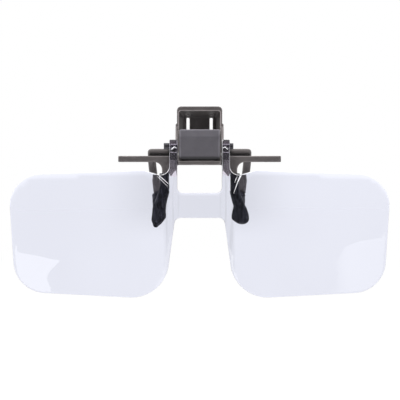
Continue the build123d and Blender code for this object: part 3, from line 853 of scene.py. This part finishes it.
def squared(angle, squareness):
    """A point of a unit circle, drawn out towards a square's corners by a squareness over two."""
    c, s = math.cos(angle), math.sin(angle)
    out = (abs(c) ** squareness + abs(s) ** squareness) ** (-1 / squareness)
    return c * out, s * out


def add_turned(bm, profile, parts, squareness=2.0):
    """A closed bar along the flip axis from (x, reach) points, round or with four flats."""
    around = [squared(math.tau * k / parts, squareness) for k in range(parts)]
    rings = [[bm.verts.new((x, FLIP_AXIS_Y + reach * c, FLIP_AXIS_HEIGHT + reach * s)) for c, s in around]
             for x, reach in profile]
    join_rings(bm, rings)
    bm.faces.new(rings[0])
    bm.faces.new(rings[-1])


def hub_profile(side):
    """One ear's hub with rounded rims, as (x, reach) points."""
    profile = []
    for end, way in ((EAR_INNER, 1), (EAR_OUTER, -1)):
        arc = []
        for step in range(PLATE_EDGE_STEPS + 1):
            angle = math.pi / 2 * step / PLATE_EDGE_STEPS
            arc.append((end + way * HUB_ROUND * (1 - math.sin(angle)),
                        HUB_REACH - HUB_ROUND * (1 - math.cos(angle))))
        profile += arc[::-1] if way == 1 else arc
    return [(side * x, reach) for x, reach in profile]


def front_depth(x, z):
    """The depth of the clear moulding's front at a place across and up."""
    if z > FLIP_AXIS_HEIGHT - HUB_REACH:
        return FLIP_AXIS_Y - HUB_REACH
    out = math.hypot(abs(x) - LENS_SPACING / 2, z - LENS_CENTRE_HEIGHT)
    base = math.sqrt(DOME_CURVE_RADIUS ** 2 - DOME_RIM_RADIUS ** 2)
    rise = math.sqrt(DOME_CURVE_RADIUS ** 2 - min(out, DOME_RIM_RADIUS) ** 2) - base
    return FLIP_AXIS_Y - PLATE_THICKNESS / 2 - rise


def add_groove(bm, line):
    """A four-sided cutter along (across, up, half width) points on the moulding's front."""
    rings = []
    for k, (x, z, half) in enumerate(line):
        before, after = line[max(0, k - 1)], line[min(len(line) - 1, k + 1)]
        along = Vector((after[0] - before[0], 0.0, after[1] - before[1])).normalized()
        side = Vector((-along.z, 0.0, along.x)) * half
        deep = Vector((0.0, half, 0.0))
        middle = Vector((x, front_depth(x, z), z))
        rings.append([bm.verts.new(middle + way) for way in (side, deep, -side, -deep)])
    join_rings(bm, rings)
    bm.faces.new(rings[0])
    bm.faces.new(rings[-1])


def combine(piece, mesh, operation):
    """Joins a mesh to a piece, or cuts it away."""
    other = link("other", mesh)
    cut = piece.modifiers.new("Combine", "BOOLEAN")
    cut.operation = operation
    cut.solver = "EXACT"
    cut.object = other
    finished(piece)
    bpy.data.objects.remove(other)


def finish_number(centre, normal):
    """Which finish a face has: 0 lenses and bridge, 1 edges, 2 ears, 3 hubs, 4 bright lines."""
    x, y, z = (place / MM for place in centre)
    across = abs(x)
    off_axis = max(abs(y - FLIP_AXIS_Y), abs(z - FLIP_AXIS_HEIGHT))
    is_hub = off_axis < HUB_REACH + FINISH_SLACK
    is_side = abs(normal.y) < FRONT_LEAN
    in_mark = (is_hub and y < FLIP_AXIS_Y - HUB_REACH + EAR_MARK_DEPTH
               and EAR_INNER + EDGE_SLACK < across < EAR_OUTER - EDGE_SLACK
               and abs(z - EAR_MARK_HEIGHT) < EAR_MARK_SPAN)
    in_corner = (EAR_OUTER + EDGE_SLACK < across < PLATE_STEP_HALF_WIDTH
                 and BRIGHT_CORNER[0] < z < BRIGHT_CORNER[1])
    by_gap = (abs(x - EAR_INNER) < PLATE_EDGE_ROUND and z > EAR_FOOT_HEIGHT
              and abs(normal.y) < GAP_LEAN and abs(normal.x) < UPRIGHT_LEAN)
    if by_gap or (is_side and (in_mark or in_corner)):
        return 4
    if off_axis > FLIP_BORE_RADIUS and (abs(normal.x) > SIDE_LEAN or (is_side and not is_hub)):
        return 1
    if is_hub:
        return 3
    return 2 if z > EAR_FOOT_HEIGHT and across < EAR_OUTER + FINISH_SLACK else 0


def finish_plate_mesh(mesh, *finishes):
    """Gives each face its finish, and draws crisp lines between finishes and round the domes."""
    mesh.materials.clear()
    for finish in finishes:
        mesh.materials.append(finish)
    for face in mesh.polygons:
        face.material_index = finish_number(face.center, face.normal)
    smooth_shade(mesh, SHARP_ANGLE)
    bm = bmesh.new()
    bm.from_mesh(mesh)
    front = (FLIP_AXIS_Y - PLATE_THICKNESS / 4) * MM
    for edge in bm.edges:
        on_rim = all(
            vert.co.y < front
            and abs(math.hypot(abs(vert.co.x) / MM - LENS_SPACING / 2,
                               vert.co.z / MM - LENS_CENTRE_HEIGHT) - DOME_RIM_RADIUS) < RIM_SLACK
            for vert in edge.verts
        )
        if on_rim or len({face.material_index for face in edge.link_faces}) > 1:
            edge.smooth = False
    bm.to_mesh(mesh)
    bm.free()


def make_clear_plate(*finishes):
    """The clear moulding: plate, domes, ears with squared hubs, and the bore for the flip axle."""
    piece = link("clear_plate", make_plate_blank())
    apply_tree(piece, domes_tree(finishes[0]), {
        "Lens spacing": LENS_SPACING * MM,
        "Centre height": LENS_CENTRE_HEIGHT * MM,
        "Rim radius": DOME_RIM_RADIUS * MM,
        "Curve radius": DOME_CURVE_RADIUS * MM,
        "Middle depth": FLIP_AXIS_Y * MM,
    })
    hubs = bmesh.new()
    for side in (-1, 1):
        add_turned(hubs, hub_profile(side), HUB_POINTS, HUB_SQUARENESS)
    combine(piece, keep(hubs, "hubs"), "UNION")
    cutters = bmesh.new()
    end = EAR_OUTER + BORE_OVERRUN
    add_turned(cutters, [(-end, FLIP_BORE_RADIUS), (end, FLIP_BORE_RADIUS)], BORE_POINTS)
    for side in (-1, 1):
        add_groove(cutters, [(side * x, z, half) for x, z, half in EAR_MARK])
    for line in FLOW_LINES:
        add_groove(cutters, line)
    combine(piece, keep(cutters, "cutters"), "DIFFERENCE")
    finish_plate_mesh(piece.data, *finishes)
    piece.visible_shadow = False
    declare(piece, "magnifier", "clear_acrylic", "lens_plate")


def row_at(rows, height):
    """A boot's section at a height, on smooth curves through its rows."""
    last = len(rows) - 1
    i = max([k for k in range(last) if rows[k][0] >= height], default=0)
    a, b, c, d = (rows[max(0, min(last, k))] for k in (i - 1, i, i + 1, i + 2))
    span = b[0] - c[0]
    t = (b[0] - height) / span
    found = []
    for k in range(1, len(b)):
        before = (c[k] - a[k]) / (a[0] - c[0]) * span
        after = (d[k] - b[k]) / (b[0] - d[0]) * span
        found.append((2 * t**3 - 3 * t**2 + 1) * b[k] + (t**3 - 2 * t**2 + t) * before
                     + (3 * t**2 - 2 * t**3) * c[k] + (t**3 - t**2) * after)
    return found


def add_boot_ring(bm, rows, height, shrink, slant):
    """One section of a boot as a ring of points, tilted with the boot's slanted top.

    The rows say where the boot looks to be through the plate, which bends the view inwards.
    """
    inner, outer, middle_y, half_y = row_at(rows, height)
    behind = middle_y - (FLIP_AXIS_Y + PLATE_THICKNESS / 2)
    middle_x = (inner + outer) / 2 + min(LENS_BEND_MOST, LENS_BEND_SHARE * behind)
    half_x = max(BOOT_LEAST_HALF, (outer - inner) / 2 - shrink)
    half_y = max(BOOT_LEAST_HALF, half_y - shrink)
    fade = max(0.0, 1 - (rows[0][0] - height) / BOOT_SLANT_REACH)
    ring = []
    for k in range(BOOT_POINTS):
        c, s = squared(math.tau * k / BOOT_POINTS, BOOT_SQUARENESS)
        lean = math.tan(math.radians(slant)) * fade * half_x * c
        ring.append(bm.verts.new((middle_x + half_x * c, middle_y + half_y * s, height - lean)))
    return ring


def make_boot_mesh(name, rows, slant):
    """A rubber boot: an outer skin, a rolled rim at its top, and an inner skin round the leg."""
    bm = bmesh.new()
    top, bottom = rows[0][0], rows[-1][0]
    outer = []
    for step in range(BOOT_RINGS):
        t = step / (BOOT_RINGS - 1)
        height = top - (top - bottom) * (1 - (1 - t) ** BOOT_RING_CROWDING)
        bead = BOOT_BEAD * math.exp(-((top - height - BOOT_BEAD_DROP) / BOOT_BEAD_REACH) ** 2)
        outer.append(add_boot_ring(bm, rows, height, -bead, slant))
    rim = []
    for angle in (math.pi / 2, math.pi / 4):
        ring = add_boot_ring(bm, rows, top, BOOT_RIM * (1 - math.cos(angle)), slant)
        for vert in ring:
            vert.co.z += BOOT_RIM * math.sin(angle)
        rim.append(ring)
    lining = []
    for step in range(BOOT_LINING_RINGS):
        height = top - (top - bottom) * BOOT_LINING_SHARE * step / (BOOT_LINING_RINGS - 1)
        lining.append(add_boot_ring(bm, rows, height, BOOT_WALL, slant))
    join_rings(bm, lining[::-1] + rim + outer)
    for end in (lining[-1], outer[-1]):
        middle = sum((v.co for v in end), Vector()) / BOOT_POINTS
        tip = bm.verts.new(middle - Vector((0.0, 0.0, BOOT_TIP_DROP)))
        for k in range(BOOT_POINTS):
            bm.faces.new((end[k], end[(k + 1) % BOOT_POINTS], tip))
    return keep(bm, name)


def creases_tree(material):
    """Draws a boot's skin into lengthwise creases, deepest at its bend."""
    tree, given = new_tree("Creases", ("Depth", "Scale", "Bend height", "Bend reach", "Offset"))
    position = add(tree, "GeometryNodeInputPosition").outputs[0]
    drawn = add(tree, "ShaderNodeVectorMath", {0: position, 1: CREASE_STRETCH}, operation="MULTIPLY")
    moved = add(tree, "ShaderNodeVectorMath", {
        0: drawn.outputs[0], 1: add(tree, "ShaderNodeCombineXYZ", {0: given["Offset"]}).outputs[0],
    }, operation="ADD")
    noise = add(tree, "ShaderNodeTexNoise",
                {"Vector": moved.outputs[0], "Scale": given["Scale"], "Detail": 1.0}).outputs[0]
    height = parts_of(tree, position)[2]
    off = calc(tree, "DIVIDE", calc(tree, "SUBTRACT", height, given["Bend height"]), given["Bend reach"])
    near = calc(tree, "SUBTRACT", 1.0, times(tree, off, off))
    near = calc(tree, "MAXIMUM", near, CREASE_LEAST_SHARE)
    depth = times(tree, times(tree, given["Depth"], near),
                  calc(tree, "SUBTRACT", noise, CREASE_MIDDLE_SHARE))
    push = add(tree, "ShaderNodeVectorMath", {
        0: add(tree, "GeometryNodeInputNormal").outputs[0], "Scale": depth,
    }, operation="SCALE")
    creased = add(tree, "GeometryNodeSetPosition",
                  {"Geometry": given["Geometry"], "Offset": push.outputs[0]})
    return end_tree(tree, creased.outputs[0], material)


def make_boots(material):
    """The four rubber boots, each pulled on and creased in its own way."""
    tree = creases_tree(material)
    kinds = (
        ("front", "left", FRONT_BOOT_LEFT, 0.0, "clip", 5.0, 7.0),
        ("front", "right", FRONT_BOOT_RIGHT, 0.0, "clip", 5.0, 7.0),
        ("rear", "left", REAR_BOOT_LEFT, REAR_BOOT_SLANT, "rear_clip", 3.5, 4.5),
        ("rear", "right", REAR_BOOT_RIGHT, REAR_BOOT_SLANT, "rear_clip", 3.5, 4.5),
    )
    for number, (place, side, rows, slant, body, bend, reach) in enumerate(kinds):
        name = place + "_boot_" + side
        mesh = make_boot_mesh(name, rows, slant)
        if side == "left":
            for vertex in mesh.vertices:
                vertex.co.x = -vertex.co.x
            mesh.flip_normals()
        piece = apply_tree(link(name, mesh), tree, {
            "Depth": CREASE_DEPTH * MM,
            "Scale": CREASE_SCALE,
            "Bend height": bend * MM,
            "Bend reach": reach * MM,
            "Offset": CREASE_OFFSET * MM * number,
        })
        smooth_shade(piece.data, BOOT_SOFT_ANGLE)
        declare(piece, body, "black_rubber", place + "_sleeve_" + side)


def add_leaf_layer(bm, side, back, drop):
    """The leaf's outline some way behind its front, its pointed top lowered by a drop."""
    middle, right = LEAF_LEFT + LEAF_WIDTH / 2, LEAF_LEFT + LEAF_WIDTH
    foot, tip = LEAF_FOOT_Y + back, LEAF_TIP_Y + back
    corners = [
        (LEAF_LEFT, foot, LEAF_BOTTOM), (right, foot, LEAF_BOTTOM), (right, foot, LEAF_BEND),
        (right, tip, LEAF_SHOULDER - drop), (middle, tip, LEAF_TOP - drop),
        (LEAF_LEFT, tip, LEAF_SHOULDER - drop), (LEAF_LEFT, foot, LEAF_BEND),
    ]
    return [bm.verts.new((side * x, y, z)) for x, y, z in corners]


def make_detent_leaf(name, side, dark, bright):
    """A blackened spring strip whose pointed end is cut on a slant, down to bright steel."""
    bm = bmesh.new()
    layers = [add_leaf_layer(bm, side, back, drop)
              for back, drop in ((0.0, LEAF_CUT), (LEAF_CUT, 0.0), (LEAF_THICKNESS, 0.0))]
    bm.faces.new(layers[0])
    bm.faces.new(layers[-1])
    for number, face in enumerate(join_rings(bm, layers)):
        face.material_index = int(number % len(layers[0]) in LEAF_POINT_SIDES)
    bmesh.ops.triangulate(bm, faces=bm.faces)
    mesh = keep(bm, name)
    piece = link(name, mesh, dark)
    mesh.materials.append(bright)
    return piece


def make_camera():
    """Level with the clip and square to the plate, at the photograph's scale."""
    low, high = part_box("lens_plate")
    scale = (high.x - low.x) / (PLATE_RIGHT_PIXEL - PLATE_LEFT_PIXEL)
    data = bpy.data.cameras.new("camera")
    data.sensor_width = SENSOR
    data.lens = SENSOR * CAMERA_DISTANCE / (scale * PHOTO_SIDE)
    camera = link("camera", data)
    across = (PHOTO_SIDE / 2 - CENTRE_PIXEL) * scale
    up = (GRIP_PIXEL - PHOTO_SIDE / 2) * scale
    camera.location = (across, FLIP_AXIS_Y * MM - CAMERA_DISTANCE, up)
    camera.rotation_euler = (math.pi / 2, 0.0, 0.0)
    bpy.context.scene.camera = camera


def seen_share(tree):
    """One on the rays that draw the background, its reflection and what shows through clear parts."""
    path = add(tree, "ShaderNodeLightPath").outputs
    drawn = calc(tree, "MAXIMUM", path["Is Camera Ray"],
                 calc(tree, "MAXIMUM", path["Is Glossy Ray"], path["Is Transmission Ray"]))
    unlit = calc(tree, "LESS_THAN", path["Diffuse Depth"], 0.5)
    return times(tree, drawn, unlit), calc(tree, "GREATER_THAN", path["Glossy Depth"], 0.5)


def make_world():
    """White behind the object and in what it mirrors, but for the dim side that the camera is on."""
    world = bpy.data.worlds.new("studio")
    bpy.context.scene.world = world
    world.use_nodes = True
    tree = world.node_tree
    tree.nodes.clear()
    part = parts_of(tree, add(tree, "ShaderNodeTexCoord").outputs["Generated"])
    front = times(tree, part[1], -1.0)
    mirrored = ramp(tree, front, *MIRROR_WAY, 1.0, MIRROR_DIM)
    shed = times(tree, ramp(tree, front, 0.1, 0.9, 0.6, 0.08), ramp(tree, part[2], -0.6, 0.8, 0.75, 1.25))
    through = add(tree, "ShaderNodeLightPath").outputs["Is Transmission Ray"]
    shed = times(tree, shed, calc(tree, "SUBTRACT", 1.0, through))
    drawn, is_mirrored = seen_share(tree)
    seen = add(tree, "ShaderNodeMix", {0: is_mirrored, 2: 1.0, 3: mirrored}).outputs[0]
    level = add(tree, "ShaderNodeMix", {0: drawn, 2: shed, 3: seen}).outputs[0]
    sky = add(tree, "ShaderNodeBackground", {"Color": WHITE, "Strength": level})
    add(tree, "ShaderNodeOutputWorld", {"Surface": sky.outputs[0]})


def make_card(name, side, outline, strength, fade):
    """A bright card in front of the clip, cut so that one lens mirrors it in that outline."""
    eye = bpy.context.scene.camera.location
    corners = []
    for x, z in outline:
        place = Vector((x, front_depth(x, z), z)) * MM
        normal = Vector((x - side * LENS_SPACING / 2, 0.0, z - LENS_CENTRE_HEIGHT)) / DOME_CURVE_RADIUS
        normal.y = -math.sqrt(1.0 - normal.length_squared)
        way = (place - eye).reflect(normal)
        corners.append(place + way * ((CARD_DEPTH - place.y) / way.y))
    mesh = bpy.data.meshes.new(name)
    mesh.from_pydata(corners, [], [range(len(corners))])
    material, tree = bare_material(name)
    place = add(tree, "ShaderNodeTexCoord").outputs["Object"]
    across = calc(tree, "ABSOLUTE", parts_of(tree, place)[0])
    near = min(abs(corner.x) for corner in corners)
    level = ramp(tree, across, near, near + fade, 0.0, strength)
    glow = add(tree, "ShaderNodeEmission", {"Color": WHITE, "Strength": level})
    add(tree, "ShaderNodeOutputMaterial", {"Surface": glow.outputs[0]})
    card = link(name, mesh, material)
    card.visible_camera = False
    card.visible_diffuse = False
    card.visible_transmission = False
    card.visible_shadow = False


def make_lamp(name, place, power):
    """A soft square lamp that faces the clip."""
    data = bpy.data.lights.new(name, "AREA")
    data.energy = power
    data.size = LAMP_SIDE
    lamp = link(name, data)
    lamp.location = place
    lamp.rotation_euler = (-Vector(place)).to_track_quat("-Z", "Y").to_euler()
    lamp.visible_glossy = False
    lamp.visible_transmission = False


def make_floor():
    """A pale floor below the object, white to the eye but for the object's shadow."""
    mesh = bpy.data.meshes.new("floor")
    half = FLOOR_SIDE / 2
    corners = [(-half, -half), (half, -half), (half, half), (-half, half)]
    mesh.from_pydata([(x, y, FLOOR_HEIGHT) for x, y in corners], [], [(0, 1, 2, 3)])
    material, tree = bare_material("floor")
    drawn, is_mirrored = seen_share(tree)
    shown = times(tree, drawn, calc(tree, "SUBTRACT", 1.0, is_mirrored))
    place = add(tree, "ShaderNodeTexCoord").outputs["Object"]
    depth = parts_of(tree, place)[1]
    in_mirror = tone(tree, ramp(tree, depth, -0.2, -0.02), (MIRROR_DIM,) * 3, (0.6, 0.6, 0.6))
    unseen = tone(tree, is_mirrored, (0.5, 0.5, 0.5), in_mirror)
    paint = add(tree, "ShaderNodeBsdfDiffuse", {"Color": tone(tree, shown, unseen, (0.9, 0.9, 0.9))})
    glow = add(tree, "ShaderNodeEmission", {"Color": WHITE, "Strength": FLOOR_GLOW})
    share = times(tree, shown, FLOOR_GLOW_SHARE)
    mix = add(tree, "ShaderNodeMixShader", {0: share, 1: paint.outputs[0], 2: glow.outputs[0]})
    add(tree, "ShaderNodeOutputMaterial", {"Surface": mix.outputs[0]})
    floor = link("floor", mesh, material)
    floor.visible_glossy = False


def give(node, material):
    """A CAD node that stays as it is gets its finish."""
    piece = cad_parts[node]
    piece.data.materials.clear()
    piece.data.materials.append(material)


acrylic = clear_acrylic("clear acrylic", (0.866, 0.881, 0.978), 1.0)
ear_acrylic = clear_acrylic("clear acrylic at the ears", (0.90, 0.85, 0.97), 0.92)
# Painted shade: the hubs are tinted dark for the shaded parts seen through them
hub_acrylic = clear_acrylic("clear acrylic at the hubs", (0.70, 0.64, 0.77), 0.95)
satin_acrylic = cut_edge_acrylic("satin acrylic edge", (0.82, 0.81, 0.88), 0.45)
line_acrylic = cut_edge_acrylic("bright acrylic line", (0.94, 0.94, 0.97), 0.1)
grey = moulded_plastic("warm grey plastic", (0.106, 0.096, 0.096), 0.46)
cool = moulded_plastic("bluish grey plastic", (0.104, 0.099, 0.113), 0.44)
rubber = black_rubber("black rubber", (0.029, 0.0285, 0.036))
pin_steel = drawn_steel("dark pin steel", (0.13, 0.125, 0.14), 0.42, (0.1, 1.0, 1.0))
spring_steel = drawn_steel("spring wire", (0.50, 0.50, 0.52), 0.28, (1.0, 0.1, 0.1))
leaf_steel = drawn_steel("blackened strip", (0.05, 0.048, 0.056), 0.45, (1.0, 1.0, 0.1))
cut_steel = drawn_steel("bright cut edge", (0.85, 0.85, 0.88), 0.25, (1.0, 1.0, 1.0))
nylon = grey_nylon("grey nylon", (0.16, 0.155, 0.17))

neighbours = solids_around()
make_clear_plate(acrylic, satin_acrylic, ear_acrylic, hub_acrylic, line_acrylic)
make_moulding("front_jaw", "clip", "grey_plastic", grey, neighbours)
make_moulding("front_cover", "clip", "cover_plastic", cool, neighbours)
make_moulding("rear_jaw", "rear_clip", "grey_plastic", grey, neighbours, is_shoulder)
make_boots(rubber)
for side_name, side_sign in (("left", -1), ("right", 1)):
    leaf = make_detent_leaf("detent_strip_" + side_name, side_sign, leaf_steel, cut_steel)
    declare(leaf, "clip", "leaf_steel", "detent_leaf_" + side_name)
    make_turned("ear_washer_" + side_name, "clip", "washer_plastic", nylon)
for turned_node in ("flip_axle", "flip_axle_cap", "pivot_axle", "pivot_axle_cap"):
    make_turned(turned_node, "clip", "pin_steel", pin_steel)
make_turned("spring_sleeve", "clip", "washer_plastic", nylon)
give("torsion_spring", spring_steel)

make_camera()
make_world()
make_card("left card", -1, LEFT_CARD, 2.6, 0.001)
make_card("right card", 1, RIGHT_CARD, 1.5, 0.03)
for lamp_name, lamp_place, lamp_power in LAMPS:
    make_lamp(lamp_name, lamp_place, lamp_power)
make_floor()

bpy.context.scene.view_settings.view_transform = "Standard"
